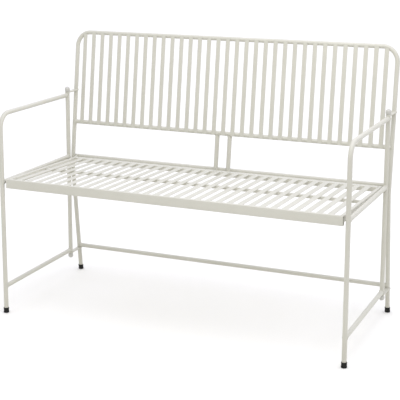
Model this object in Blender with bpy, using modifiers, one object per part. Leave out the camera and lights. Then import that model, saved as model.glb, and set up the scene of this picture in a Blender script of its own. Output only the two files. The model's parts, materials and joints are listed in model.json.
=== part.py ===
"""Folding two-seat garden bench in cream powder-coated steel tube and flat bar.

Metres, +Z up, -Y is the front and +X is to the right as one faces the bench.
The origin is under the middle of the bench, on the floor.

Three moving pieces hang on a fixed back frame:
- the seat panel turns on two hinge pins at its rear corners and folds up against the back;
- each side frame (front leg, arm, post and rails) turns on two pivot bolts in its post.
Tubes that are welded in the real bench meet here with a narrow gap, so that each stays
one closed body of its own.
"""

import math

import bmesh
import bpy
from mathutils import Matrix, Vector

# ---------------------------------------------------------------- driving dimensions
TUBE = 0.007                 # radius of every round tube
GAP = 0.0003                 # clearance between neighbouring pieces
SIDES = 16                   # flats round a tube

BACK_X = 0.550               # back frame legs, from the middle plane
SIDE_X = 0.548               # side frames, from the middle plane
FRONT_Y = -0.24994           # front leg axis
POST_Y = 0.1635              # post axis, which is the side frame's pivot axis

BEND_Y = 0.1940              # where the back frame legs change direction
BEND_Z = 0.3875
REAR_FOOT_Y = 0.2384         # back frame leg axis at floor level
RECLINE = math.atan2(0.2516 - BEND_Y, 0.8370 - BEND_Z)
BACK_TOP = (0.8370 - BEND_Z) / math.cos(RECLINE)      # top rail axis, along the back
BACK_LOW = (0.5347 - BEND_Z) / math.cos(RECLINE)      # lower rail axis, along the back
BACK_CORNER = 0.047          # bend radius of the two top corners

BACK_SLATS = 33
BACK_SLAT_WIDTH = 0.014
BACK_SLAT_THICK = 0.0015
BACK_SLAT_RISE = 0.0005      # how far the slats reach above the top rail's axis
SUPPORT_X = 0.0215           # the two short centre supports

ARM_Z = 0.6325
ARM_CORNER = 0.045
POST_LOW = 0.083
POST_TOP = 0.640
SIDE_RAIL_Z = 0.421
STRETCHER_FRONT_Z = 0.086
STRETCHER_REAR_Z = 0.090
REAR_STRETCHER_Z = 0.0905

SEAT_FRONT_Y = -0.251
SEAT_TOP_Z = 0.4315          # top face at the front edge
SEAT_SLOPE = math.atan(0.030)
SEAT_DEPTH = 0.4332
SEAT_HALF = 0.5335
APRON_DEEP = 0.012
APRON_HIGH = 0.028
APRON_WALL = 0.0015          # the apron is a rectangular tube with open ends
APRON_MOUTH = 0.020          # modelled depth of each open end
REAR_RAIL_DEEP = 0.022
REAR_RAIL_HIGH = 0.015
SEAT_SIDE_WIDE = 0.011
SEAT_SIDE_HIGH = 0.020
SEAT_SLATS = 31
SEAT_PITCH = 0.033
SEAT_SLAT_WIDTH = 0.018
SEAT_SLAT_THICK = 0.0018
MID_BAR_FROM_FRONT = 0.221

HINGE_Y = 0.1750             # seat hinge pin axis
HINGE_Z = 0.4080
PIN = 0.0030
PIN_HOLE = 0.0033


FERRULE = 0.0086
FERRULE_HIGH = 0.0165
FERRULE_SOLE = 0.0020

LUG_THICK = 0.0035
LUG_END = 0.0078
COLLAR = 0.0093
COLLAR_HOLE = 0.00750


# ---------------------------------------------------------------- scene and materials
for old in list(bpy.data.objects):
    bpy.data.objects.remove(old, do_unlink=True)

bench = bpy.data.collections.new("folding_garden_bench")
cutters = bpy.data.collections.new("cutters")
bpy.context.scene.collection.children.link(bench)
bpy.context.scene.collection.children.link(cutters)


def material(name, colour, roughness, metallic=0.0):
    """A plain Principled material."""
    made = bpy.data.materials.new(name)
    made.use_nodes = True
    shader = made.node_tree.nodes["Principled BSDF"]
    shader.inputs["Base Color"].default_value = (*colour, 1.0)
    shader.inputs["Roughness"].default_value = roughness
    shader.inputs["Metallic"].default_value = metallic
    return made


BACK_COAT = material("back_coat", (0.79, 0.77, 0.68), 0.48)
SIDE_COAT = material("side_coat", (0.80, 0.78, 0.69), 0.48)
SEAT_COAT = material("seat_coat", (0.81, 0.79, 0.70), 0.48)
CAP_COAT = material("cap_coat", (0.77, 0.75, 0.66), 0.42)
RUBBER = material("ferrule_rubber", (0.022, 0.022, 0.018), 0.75)
STEEL = material("pin_steel", (0.60, 0.59, 0.56), 0.35, 1.0)


# ---------------------------------------------------------------- helpers
def place_on(obj, coat, origin=(0.0, 0.0, 0.0)):
    """Link a finished piece, give it its material and move its origin to a point."""
    obj.data.materials.clear()
    obj.data.materials.append(coat)
    point = Vector(origin)
    obj.data.transform(obj.matrix_world)
    obj.data.transform(Matrix.Translation(-point))
    obj.matrix_world = Matrix.Translation(point)
    bench.objects.link(obj)
    return obj


def mesh_of_curve(name, curve, matrix):
    """Turn a curve into one closed mesh object that takes Boolean modifiers."""
    source = bpy.data.objects.new(name + "_curve", curve)
    bpy.context.scene.collection.objects.link(source)
    bpy.context.view_layer.update()
    graph = bpy.context.evaluated_depsgraph_get()
    mesh = bpy.data.meshes.new_from_object(source.evaluated_get(graph))
    bpy.data.objects.remove(source, do_unlink=True)
    work = bmesh.new()
    work.from_mesh(mesh)
    bmesh.ops.remove_doubles(work, verts=work.verts, dist=0.00002)
    bmesh.ops.recalc_face_normals(work, faces=work.faces)
    work.to_mesh(mesh)
    work.free()
    mesh.transform(matrix)
    mesh.name = name
    return bpy.data.objects.new(name, mesh)


def smooth(obj, angle=40.0):
    """Shade round faces smooth and keep the sharp edges sharp."""
    obj.data.set_sharp_from_angle(angle=math.radians(angle))
    for face in obj.data.polygons:
        face.use_smooth = True
    return obj


def tube(name, points, radius=TUBE, matrix=Matrix.Identity(4)):
    """A round tube along a run of points, closed at both ends."""
    curve = bpy.data.curves.new(name, "CURVE")
    curve.dimensions = "3D"
    curve.bevel_depth = radius
    curve.bevel_resolution = (SIDES - 4) // 2
    curve.use_fill_caps = True
    spline = curve.splines.new("POLY")
    spline.points.add(len(points) - 1)
    for slot, point in zip(spline.points, points):
        slot.co = (*point, 1.0)
    return smooth(mesh_of_curve(name, curve, matrix))


def plate(name, outline, holes, thick, matrix):
    """A flat plate: an outline with holes in local XY, centred on local Z."""
    curve = bpy.data.curves.new(name, "CURVE")
    curve.dimensions = "2D"
    curve.fill_mode = "BOTH"
    curve.extrude = thick / 2
    for loop in [outline] + holes:
        spline = curve.splines.new("POLY")
        spline.points.add(len(loop) - 1)
        for slot, point in zip(spline.points, loop):
            slot.co = (point[0], point[1], 0.0, 1.0)
        spline.use_cyclic_u = True
    return smooth(mesh_of_curve(name, curve, matrix))


def ring(centre, radius, count=24):
    """Points round a circle, for the holes and the round ends of plates."""
    points = []
    for step in range(count):
        angle = math.tau * step / count
        points.append((centre[0] + radius * math.cos(angle),
                       centre[1] + radius * math.sin(angle)))
    return points


def box_mesh(name, low, high, matrix=Matrix.Identity(4)):
    """A rectangular bar between two corners."""
    mesh = bpy.data.meshes.new(name)
    work = bmesh.new()
    bmesh.ops.create_cube(work, size=1.0)
    middle = (Vector(low) + Vector(high)) / 2
    size = Vector(high) - Vector(low)
    bmesh.ops.scale(work, vec=size, verts=work.verts)
    bmesh.ops.translate(work, vec=middle, verts=work.verts)
    work.to_mesh(mesh)
    work.free()
    mesh.transform(matrix)
    return bpy.data.objects.new(name, mesh)


def strips(name, boxes, matrix):
    """Several separate flat strips in one mesh, to be joined to a bar."""
    mesh = bpy.data.meshes.new(name)
    work = bmesh.new()
    for low, high in boxes:
        made = bmesh.ops.create_cube(work, size=1.0)["verts"]
        bmesh.ops.scale(work, vec=Vector(high) - Vector(low), verts=made)
        bmesh.ops.translate(work, vec=(Vector(low) + Vector(high)) / 2, verts=made)
    work.to_mesh(mesh)
    work.free()
    mesh.transform(matrix)
    return bpy.data.objects.new(name, mesh)


def lathe(name, profile, steps=SIDES):
    """Turn a profile of (radius, height) about Z; it runs from the top to the bottom."""
    mesh = bpy.data.meshes.new(name)
    edges = [(index, index + 1) for index in range(len(profile) - 1)]
    mesh.from_pydata([(radius, 0.0, height) for radius, height in profile], edges, [])
    obj = bpy.data.objects.new(name, mesh)
    screw = obj.modifiers.new("turn", "SCREW")
    screw.axis = "Z"
    screw.angle = math.tau
    screw.steps = steps
    screw.render_steps = steps
    screw.use_merge_vertices = True
    screw.merge_threshold = 0.00005
    bpy.context.scene.collection.objects.link(obj)
    bpy.context.view_layer.update()
    graph = bpy.context.evaluated_depsgraph_get()
    turned = bpy.data.meshes.new_from_object(obj.evaluated_get(graph))
    bpy.data.objects.remove(obj, do_unlink=True)
    work = bmesh.new()
    work.from_mesh(turned)
    bmesh.ops.recalc_face_normals(work, faces=work.faces)
    work.to_mesh(turned)
    work.free()
    turned.name = name
    return smooth(bpy.data.objects.new(name, turned))


def combine(obj, tool, operation):
    """Join a hidden tool to a piece, or cut the piece with it."""
    tool.hide_render = True
    tool.display_type = "WIRE"
    if tool.name not in cutters.objects:
        cutters.objects.link(tool)
    step = obj.modifiers.new(tool.name, "BOOLEAN")
    step.operation = operation
    step.solver = "EXACT"
    step.object = tool
    return obj


def round_cutter(name, start, end, radius, sides=24):
    """A cylinder between two points, used to cope tube ends and bore holes."""
    start = Vector(start)
    end = Vector(end)
    along = end - start
    mesh = bpy.data.meshes.new(name)
    work = bmesh.new()
    bmesh.ops.create_cone(work, cap_ends=True, segments=sides, radius1=radius,
                          radius2=radius, depth=along.length)
    work.to_mesh(mesh)
    work.free()
    turn = along.to_track_quat("Z", "Y").to_matrix().to_4x4()
    mesh.transform(Matrix.Translation((start + end) / 2) @ turn)
    return bpy.data.objects.new(name, mesh)


def arc(centre, across, up, radius, start, end, steps):
    """Points round a bend; across and up are unit vectors in the plane of the bend."""
    points = []
    for step in range(steps + 1):
        angle = math.radians(start + (end - start) * step / steps)
        points.append(Vector(centre) + radius * math.cos(angle) * Vector(across)
                      + radius * math.sin(angle) * Vector(up))
    return points


BACK = Matrix.Translation((0.0, BEND_Y, BEND_Z)) @ Matrix.Rotation(-RECLINE, 4, "X")
SEAT = (Matrix.Translation((0.0, SEAT_FRONT_Y, SEAT_TOP_Z))
        @ Matrix.Rotation(-SEAT_SLOPE, 4, "X"))
# local X to +Y, local Y to +Z and local Z to +X: stands a plate up across the bench
UPRIGHT = Matrix(((0, 0, 1, 0), (1, 0, 0, 0), (0, 1, 0, 0), (0, 0, 0, 1)))
HINGE = (0.0, HINGE_Y, HINGE_Z)
COPE = TUBE + GAP + 0.00015


def back_axis_y(height):
    """Y of a back frame leg's axis at a height."""
    if height > BEND_Z:
        return BEND_Y + (height - BEND_Z) * math.tan(RECLINE)
    return REAR_FOOT_Y + (BEND_Y - REAR_FOOT_Y) * height / BEND_Z


# ---------------------------------------------------------------- back frame
def back_frame_tube():
    """One tube bent to a U: rear legs, stiles and top rail."""
    foot_z = FERRULE_SOLE + GAP + 0.0010
    half = [Vector((BACK_X, back_axis_y(foot_z), foot_z)),
            Vector((BACK_X, back_axis_y(BEND_Z - 0.0055), BEND_Z - 0.0055)),
            Vector((BACK_X, BEND_Y + 0.00017, BEND_Z)),
            Vector((BACK_X, back_axis_y(BEND_Z + 0.0055), BEND_Z + 0.0055))]
    centre = BACK @ Vector((BACK_X - BACK_CORNER, 0.0, BACK_TOP - BACK_CORNER))
    up = (BACK.to_3x3() @ Vector((0.0, 0.0, 1.0))).normalized()
    half += arc(centre, (1.0, 0.0, 0.0), up, BACK_CORNER, 0.0, 90.0, 7)
    other = [Vector((-point.x, point.y, point.z)) for point in reversed(half)]
    return place_on(tube("back_frame_tube", half + other), BACK_COAT)


def between_back_legs(name, height, forward=0.0):
    """A straight rail between the back frame legs, coped round them."""
    y = back_axis_y(height)
    rail = tube(name, [(-BACK_X + 0.003, y - forward, height),
                       (BACK_X - 0.003, y - forward, height)])
    for side, sign in (("left", -1.0), ("right", 1.0)):
        low = height - 0.04
        high = height + 0.04
        tool = round_cutter("cut_" + name + "_" + side,
                            (sign * BACK_X, back_axis_y(low), low),
                            (sign * BACK_X, back_axis_y(high), high), COPE)
        combine(rail, tool, "DIFFERENCE")
    return rail


def back_slat_panel():
    """The lower rail of the back with all the upright flat slats welded to its front."""
    height = BEND_Z + BACK_LOW * math.cos(RECLINE)
    rail = between_back_legs("back_slat_panel", height, forward=0.0008)
    front = TUBE + GAP
    boxes = []
    pitch = 2 * BACK_X / (BACK_SLATS + 1)
    for index in range(BACK_SLATS):
        x = -BACK_X + pitch * (index + 1)
        top = BACK_TOP + BACK_SLAT_RISE
        into_bend = abs(x) + BACK_SLAT_WIDTH / 2 - (BACK_X - BACK_CORNER)
        if into_bend > 0:
            # The end slats stop lower, where the rail's axis has begun to bend down.
            top -= BACK_CORNER - math.sqrt(BACK_CORNER ** 2 - into_bend ** 2)
        boxes.append(((x - BACK_SLAT_WIDTH / 2, -front - BACK_SLAT_THICK, BACK_LOW - 0.0055),
                      (x + BACK_SLAT_WIDTH / 2, -front, top)))
    combine(rail, strips("join_back_slats", boxes, BACK), "UNION")
    return place_on(rail, BACK_COAT)


def centre_support(side, sign):
    """A short tube from the lower rail of the back down to the seat-level crossbar."""
    support = tube("centre_support_" + side,
                   [(sign * SUPPORT_X, 0.0, 0.0150), (sign * SUPPORT_X, 0.0, BACK_LOW - 0.003)],
                   matrix=BACK)
    low = BACK @ Vector((sign * SUPPORT_X - 0.02, -0.0008, BACK_LOW))
    high = BACK @ Vector((sign * SUPPORT_X + 0.02, -0.0008, BACK_LOW))
    combine(support, round_cutter("cut_support_" + side, low, high, COPE), "DIFFERENCE")
    return place_on(support, BACK_COAT)


def seat_level_crossbar():
    """The bar behind the back legs and the centre supports, at seat height."""
    y = 2 * TUBE + GAP
    ends = [(-BACK_X - 0.001, y, 0.0290), (BACK_X + 0.001, y, 0.0290)]
    return place_on(tube("seat_level_crossbar", ends, matrix=BACK), BACK_COAT)


def hinge_bracket(side, sign):
    """A plate forward from the crossbar that carries one end of the seat hinge."""
    bar = BACK @ Vector((0.0, 2 * TUBE + GAP, 0.0290))
    back = bar.y - TUBE - GAP
    outline = [(back, 0.4035), (back, 0.4195), (HINGE_Y + 0.004, 0.4155)]
    for angle in range(100, 281, 20):
        turn = math.radians(angle)
        outline.append((HINGE_Y + 0.0072 * math.cos(turn), HINGE_Z + 0.0072 * math.sin(turn)))
    middle = Matrix.Translation((sign * 0.5385, 0.0, 0.0))
    made = plate("seat_hinge_bracket_" + side, outline, [ring((HINGE_Y, HINGE_Z), PIN_HOLE)],
                 0.0040, middle @ UPRIGHT)
    return place_on(made, BACK_COAT)


def hinge_pin(side, sign):
    """A headed pin through the bracket into the seat's side rail."""
    inner = SEAT_HALF - SEAT_SIDE_WIDE + 0.0005
    profile = [(0.0, 0.5429), (0.0028, 0.5427), (0.0042, 0.5420), (0.0045, 0.5408), (PIN, 0.5408),
               (PIN, inner), (0.0, inner)]
    pin = lathe("seat_hinge_pin_" + side, profile)
    turn = Matrix.Rotation(math.radians(90.0 * sign), 4, "Y")
    pin.matrix_world = Matrix.Translation(HINGE) @ turn
    return place_on(pin, STEEL, HINGE)


def lug(name, sign, low):
    """A flat lug from the pivot bolt back to a collar round the back frame leg."""
    collar_y = back_axis_y(low + LUG_THICK / 2)
    outline = []
    for angle in range(180, 361, 20):
        turn = math.radians(angle)
        outline.append((sign * SIDE_X + LUG_END * math.cos(turn),
                        POST_Y + LUG_END * math.sin(turn)))
    neck = math.sqrt(COLLAR ** 2 - LUG_END ** 2)
    opening = math.degrees(math.atan2(-neck, LUG_END))
    for step in range(13):
        turn = math.radians(opening + (180.0 - 2 * opening) * step / 12)
        outline.append((sign * BACK_X + COLLAR * math.cos(turn),
                        collar_y + COLLAR * math.sin(turn)))
    holes = [ring((sign * SIDE_X, POST_Y), PIN_HOLE),
             ring((sign * BACK_X, collar_y), COLLAR_HOLE, 32)]
    middle = Matrix.Translation((0.0, 0.0, low + LUG_THICK / 2))
    return place_on(plate(name, outline, holes, LUG_THICK, middle), BACK_COAT)


def pivot_bolt(name, sign, seat_z, direction):
    """A domed cap on a short bolt; direction is +1 with the cap on top, -1 below."""
    bolt = -LUG_THICK - GAP - 0.012
    profile = [(0.0, 0.0172), (0.0032, 0.0167), (0.0059, 0.0151), (0.0078, 0.0124),
               (0.0087, 0.0086), (0.0086, 0.0048), (0.0074, 0.0016), (0.0066, 0.0003),
               (PIN, 0.0003), (PIN, bolt), (0.0, bolt)]
    made = lathe(name, profile)
    turn = Matrix.Identity(4)
    if direction < 0:
        turn = Matrix.Rotation(math.pi, 4, "X")
    spot = (sign * SIDE_X, POST_Y, seat_z)
    made.matrix_world = Matrix.Translation(spot) @ turn
    return place_on(made, CAP_COAT, spot)


def ferrule(name, x, foot_y, lean=0.0):
    """A rubber foot; lean is how far its axis moves along Y per unit of height."""
    profile = [(0.0074, FERRULE_HIGH), (0.0081, FERRULE_HIGH), (FERRULE, FERRULE_HIGH - 0.0010),
               (FERRULE, 0.0010), (FERRULE - 0.0009, 0.0), (0.0, 0.0)]
    profile = [(0.0, FERRULE_SOLE), (0.0074, FERRULE_SOLE)] + profile
    made = lathe(name, profile)
    shear = Matrix.Identity(4)
    shear[1][2] = lean
    made.data.transform(shear)
    made.matrix_world = Matrix.Translation((x, foot_y, 0.0))
    return place_on(made, RUBBER, (x, foot_y, 0.0))


# ---------------------------------------------------------------- side frames
def leg_and_arm(side, sign):
    """Front leg and arm in one bent tube, coped round the post at its rear end."""
    x = sign * SIDE_X
    foot = Vector((x, FRONT_Y, FERRULE_SOLE + GAP))
    centre = (x, FRONT_Y + ARM_CORNER, ARM_Z - ARM_CORNER)
    bend = arc(centre, (0.0, -1.0, 0.0), (0.0, 0.0, 1.0), ARM_CORNER, 0.0, 90.0, 7)
    path = [foot] + bend + [Vector((x, POST_Y - 0.003, ARM_Z))]
    made = tube("leg_and_arm_tube_" + side, path)
    tool = round_cutter("cut_arm_" + side, (x, POST_Y, ARM_Z - 0.03),
                        (x, POST_Y, ARM_Z + 0.03), COPE)
    combine(made, tool, "DIFFERENCE")
    return place_on(made, SIDE_COAT, (x, POST_Y, ARM_Z))


def post_tube(side, sign):
    """The upright at the rear of a side frame, bored at both ends for its pivot bolts."""
    deep = 0.0130
    profile = [(0.0, POST_TOP - deep), (PIN_HOLE, POST_TOP - deep), (PIN_HOLE, POST_TOP),
               (TUBE, POST_TOP), (TUBE, POST_LOW), (PIN_HOLE, POST_LOW),
               (PIN_HOLE, POST_LOW + deep), (0.0, POST_LOW + deep)]
    made = lathe("post_tube_" + side, profile)
    spot = (sign * SIDE_X, POST_Y, 0.0)
    made.matrix_world = Matrix.Translation(spot)
    return place_on(made, SIDE_COAT, (sign * SIDE_X, POST_Y, ARM_Z))


def side_bar(name, side, sign, front_z, rear_z):
    """A bar of a side frame between the front leg and the post, coped at both ends."""
    x = sign * SIDE_X
    made = tube(name + "_" + side, [(x, FRONT_Y + 0.003, front_z), (x, POST_Y - 0.003, rear_z)])
    for end, y, height in (("front", FRONT_Y, front_z), ("rear", POST_Y, rear_z)):
        tool = round_cutter("cut_" + name + "_" + side + "_" + end, (x, y, height - 0.03),
                            (x, y, height + 0.03), COPE)
        combine(made, tool, "DIFFERENCE")
    return place_on(made, SIDE_COAT, (x, POST_Y, ARM_Z))


# ---------------------------------------------------------------- seat panel
def seat_front_rail():
    """The deep flat apron along the front of the seat, open at both ends."""
    made = box_mesh("seat_front_rail", (-SEAT_HALF, 0.0, -APRON_HIGH),
                    (SEAT_HALF, APRON_DEEP, 0.0), SEAT)
    mouths = []
    for ends in ((-SEAT_HALF - 0.01, -SEAT_HALF + APRON_MOUTH),
                 (SEAT_HALF - APRON_MOUTH, SEAT_HALF + 0.01)):
        mouths.append(((ends[0], APRON_WALL, -APRON_HIGH + APRON_WALL),
                       (ends[1], APRON_DEEP - APRON_WALL, -APRON_WALL)))
    combine(made, strips("cut_apron_mouths", mouths, SEAT), "DIFFERENCE")
    return place_on(made, SEAT_COAT, HINGE)


def seat_rear_rail():
    """The broad flat rail along the rear of the seat, between the side rails."""
    inner = SEAT_HALF - SEAT_SIDE_WIDE - GAP
    made = box_mesh("seat_rear_rail", (-inner, SEAT_DEPTH - REAR_RAIL_DEEP, -REAR_RAIL_HIGH),
                    (inner, SEAT_DEPTH, 0.0), SEAT)
    return place_on(made, SEAT_COAT, HINGE)


def seat_side_rail(side, sign):
    """A rail down one side of the seat, bored near its rear end for the hinge pin."""
    inner = SEAT_HALF - SEAT_SIDE_WIDE
    ends = sorted((sign * inner, sign * SEAT_HALF))
    made = box_mesh("seat_side_rail_" + side, (ends[0], APRON_DEEP + GAP, -SEAT_SIDE_HIGH),
                    (ends[1], SEAT_DEPTH, 0.0), SEAT)
    tool = round_cutter("cut_seat_hinge_" + side, (sign * (inner - 0.005), HINGE_Y, HINGE_Z),
                        (sign * (SEAT_HALF + 0.005), HINGE_Y, HINGE_Z), PIN_HOLE)
    combine(made, tool, "DIFFERENCE")
    return place_on(made, SEAT_COAT, HINGE)


def seat_slat_panel():
    """The flat slats of the seat on the bar that crosses under their middle."""
    inner = SEAT_HALF - SEAT_SIDE_WIDE - GAP
    bar = box_mesh("seat_slat_panel", (-inner, MID_BAR_FROM_FRONT - 0.005, -0.0110),
                   (inner, MID_BAR_FROM_FRONT + 0.005, -SEAT_SLAT_THICK + 0.0003), SEAT)
    boxes = []
    for index in range(SEAT_SLATS):
        x = SEAT_PITCH * (index - (SEAT_SLATS - 1) / 2)
        boxes.append(((x - SEAT_SLAT_WIDTH / 2, APRON_DEEP + GAP, -SEAT_SLAT_THICK),
                      (x + SEAT_SLAT_WIDTH / 2, SEAT_DEPTH - REAR_RAIL_DEEP - GAP, 0.0)))
    combine(bar, strips("join_seat_slats", boxes, SEAT), "UNION")
    return place_on(bar, SEAT_COAT, HINGE)


# ---------------------------------------------------------------- build
back_frame_tube()
back_slat_panel()
seat_level_crossbar()
place_on(between_back_legs("rear_stretcher", REAR_STRETCHER_Z), BACK_COAT)
seat_front_rail()
seat_rear_rail()
seat_slat_panel()

for side_name, side_sign in (("left", -1.0), ("right", 1.0)):
    centre_support(side_name, side_sign)
    hinge_bracket(side_name, side_sign)
    hinge_pin(side_name, side_sign)
    lug("upper_lug_" + side_name, side_sign, POST_TOP + GAP)
    lug("lower_lug_" + side_name, side_sign, POST_LOW - GAP - LUG_THICK)
    pivot_bolt("upper_pivot_bolt_" + side_name, side_sign, POST_TOP + GAP + LUG_THICK, 1)
    pivot_bolt("lower_pivot_bolt_" + side_name, side_sign, POST_LOW - GAP - LUG_THICK, -1)
    slope = (BEND_Y - REAR_FOOT_Y) / BEND_Z
    ferrule("rear_ferrule_" + side_name, side_sign * BACK_X, REAR_FOOT_Y, slope)
    ferrule("front_ferrule_" + side_name, side_sign * SIDE_X, FRONT_Y)
    leg_and_arm(side_name, side_sign)
    post_tube(side_name, side_sign)
    side_bar("seat_level_side_bar", side_name, side_sign, SIDE_RAIL_Z, SIDE_RAIL_Z)
    side_bar("low_side_stretcher", side_name, side_sign, STRETCHER_FRONT_Z, STRETCHER_REAR_Z)
    seat_side_rail(side_name, side_sign)
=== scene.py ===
"""Looks of the folding garden bench: round coated tubes, flat slats, weld beads, rubber feet.

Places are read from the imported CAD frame: node boxes, CAD vertices, mounts and joints. Some
sizes that the frame doesn't name, such as walls, thicknesses and bends, repeat the CAD's here.
"""

import json
import math

import bmesh
import bpy
import numpy as np
from mathutils import Matrix, Vector, noise


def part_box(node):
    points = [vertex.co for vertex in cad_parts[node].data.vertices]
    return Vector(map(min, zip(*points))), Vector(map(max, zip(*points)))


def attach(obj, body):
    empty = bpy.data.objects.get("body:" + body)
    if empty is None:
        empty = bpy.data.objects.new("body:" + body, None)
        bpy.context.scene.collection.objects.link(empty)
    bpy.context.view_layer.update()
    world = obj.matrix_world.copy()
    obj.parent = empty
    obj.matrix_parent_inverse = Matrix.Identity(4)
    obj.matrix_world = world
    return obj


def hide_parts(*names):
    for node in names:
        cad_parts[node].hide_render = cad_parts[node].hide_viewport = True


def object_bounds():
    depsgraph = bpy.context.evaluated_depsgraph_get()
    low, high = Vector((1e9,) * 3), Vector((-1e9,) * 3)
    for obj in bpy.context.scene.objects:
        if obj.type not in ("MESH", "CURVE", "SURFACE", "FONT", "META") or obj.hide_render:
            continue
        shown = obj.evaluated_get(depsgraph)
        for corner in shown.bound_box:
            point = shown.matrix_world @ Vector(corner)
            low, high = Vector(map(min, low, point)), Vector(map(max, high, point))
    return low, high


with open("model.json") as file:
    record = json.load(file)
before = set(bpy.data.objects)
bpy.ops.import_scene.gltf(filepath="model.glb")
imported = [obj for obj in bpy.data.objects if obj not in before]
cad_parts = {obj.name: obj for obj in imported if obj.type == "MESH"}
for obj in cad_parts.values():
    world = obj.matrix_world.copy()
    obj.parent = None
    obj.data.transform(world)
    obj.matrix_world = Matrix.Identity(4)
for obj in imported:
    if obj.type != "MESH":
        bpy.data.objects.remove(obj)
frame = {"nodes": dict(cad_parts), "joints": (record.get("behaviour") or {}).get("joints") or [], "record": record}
CAD_LOW, CAD_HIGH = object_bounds()
NODES = frame["nodes"]
MOUNTS = {mount["name"]: mount for mount in frame["record"]["mounts"]}
SIDES = (("left", -1.0), ("right", 1.0))

TUBE_FACETS = 40
BEAD = 0.0018                # weld bead radius
COPE_RADIUS = 0.0050         # where a tube end stops inside a post, outside its bore
PIN_BORE = 0.0033            # radius of the holes for the bolts and hinge pins
BORE_DEPTH = 0.013           # blind bore in each end of a post
BACK_SLAT_THICK = 0.0015
SEAT_SLAT_THICK = 0.0018
APRON_WALL = 0.0015          # wall of the seat's rectangular front tube
ARM_CORNER = 0.045           # bend between front leg and arm, on the tube's centre line
CAP_HEIGHT = 0.0172          # domed cap of a pivot bolt
CAP_SHOULDER = 0.0086        # level on the cap where its dome begins


# ---------------------------------------------------------------- places from the CAD frame
def plane_at(mount_name, up_axis):
    """A frame on a flat mount; up_axis says which local axis its normal is."""
    mount = MOUNTS[mount_name]
    normal = Vector(mount["axis"]).normalized()
    across = Vector((1.0, 0.0, 0.0))
    if up_axis == "Z":
        along = normal.cross(across)
        columns = (across, along, normal)
    else:
        columns = (across, -normal, across.cross(-normal))
    turn = Matrix(columns).transposed().to_4x4()
    return Matrix.Translation(mount["pos_m"]) @ turn


SEAT = plane_at("seat_surface", "Z")          # local Z is the seat's top face normal
BACK = plane_at("backrest_surface", "Y")      # local Y points to the rear, local Z up the back


def local_points(node, matrix):
    """A CAD node's vertices in a local frame, as an array."""
    inverse = matrix.inverted()
    return np.array([inverse @ vertex.co for vertex in NODES[node].data.vertices])


def local_box(node, matrix):
    """Lowest and highest corner of a CAD node in a local frame."""
    points = local_points(node, matrix)
    return Vector(points.min(0)), Vector(points.max(0))


def strip_edges(node, matrix, axis, face):
    """X ranges of the strips of a slat panel, read from the vertices on one flat face."""
    points = local_points(node, matrix)
    on_face = points[np.abs(points[:, axis] - face) < 0.0002]
    values = sorted(set(np.round(on_face[:, 0], 5)))
    edges = [values[0]]
    for value in values[1:]:
        if value - edges[-1] > 0.0005:
            edges.append(value)
    return list(zip(edges[0::2], edges[1::2]))


def middle(node):
    """Centre of a CAD node's box."""
    low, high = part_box(node)
    return (low + high) / 2


TUBE = (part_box("post_tube_left")[1].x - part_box("post_tube_left")[0].x) / 2


# ---------------------------------------------------------------- mesh helpers
def finished(name, work, body, coat, node=None, smooth_angle=35.0):
    """Turn a bmesh into a named piece that rides on a body."""
    bmesh.ops.recalc_face_normals(work, faces=work.faces)
    mesh = bpy.data.meshes.new(name)
    work.to_mesh(mesh)
    work.free()
    for face in mesh.polygons:
        face.use_smooth = True
    mesh.set_sharp_from_angle(angle=math.radians(smooth_angle))
    piece = bpy.data.objects.new(name, mesh)
    bpy.context.scene.collection.objects.link(piece)
    piece.data.materials.append(coat)
    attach(piece, body)
    if node:
        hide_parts(*([node] if isinstance(node, str) else node))
    return piece


def sweep(work, path, radius, facets=TUBE_FACETS, closed=False, chamfer=0.0):
    """Sweep a circle along a path; radius is a number or one number per point."""
    path = [Vector(point) for point in path]
    radii = [radius] * len(path) if isinstance(radius, float) else list(radius)
    if chamfer and not closed:
        first = (path[1] - path[0]).normalized()
        last = (path[-1] - path[-2]).normalized()
        path = [path[0], path[0] + first * chamfer] + path[1:-1] + [path[-1] - last * chamfer,
                                                                   path[-1]]
        radii = [radii[0] - chamfer, radii[0]] + radii[1:-1] + [radii[-1], radii[-1] - chamfer]
    count = len(path)
    normal = None
    rings = []
    for index, point in enumerate(path):
        if closed:
            before, after = path[index - 1], path[(index + 1) % count]
        else:
            before, after = path[max(index - 1, 0)], path[min(index + 1, count - 1)]
        tangent = (after - before).normalized()
        if normal is None:
            guess = Vector((0.0, 0.0, 1.0)) if abs(tangent.z) < 0.9 else Vector((0.0, 1.0, 0.0))
            normal = tangent.cross(guess).normalized()
        normal = (normal - tangent * normal.dot(tangent)).normalized()
        side = tangent.cross(normal)
        ring = []
        for step in range(facets):
            turn = math.tau * step / facets
            out = normal * math.cos(turn) + side * math.sin(turn)
            ring.append(work.verts.new(point + out * radii[index]))
        rings.append(ring)
    pairs = list(zip(rings, rings[1:]))
    if closed:
        pairs.append((rings[-1], rings[0]))
    for one, two in pairs:
        for step in range(facets):
            other = (step + 1) % facets
            work.faces.new((one[step], one[other], two[other], two[step]))
    if not closed:
        work.faces.new(rings[0])
        work.faces.new(list(reversed(rings[-1])))


def lathe(work, profile, matrix, facets=48):
    """Turn a profile of (radius, height) about local Z; radius 0 closes the shape."""
    rings = []
    for radius, height in profile:
        if radius < 1e-7:
            rings.append([work.verts.new(matrix @ Vector((0.0, 0.0, height)))])
            continue
        ring = []
        for step in range(facets):
            turn = math.tau * step / facets
            point = Vector((radius * math.cos(turn), radius * math.sin(turn), height))
            ring.append(work.verts.new(matrix @ point))
        rings.append(ring)
    for one, two in zip(rings, rings[1:]):
        for step in range(facets):
            other = (step + 1) % facets
            corners = [one[step % len(one)], one[other % len(one)],
                       two[other % len(two)], two[step % len(two)]]
            unique = list(dict.fromkeys(corners))
            if len(unique) > 2:
                work.faces.new(unique)


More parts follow.
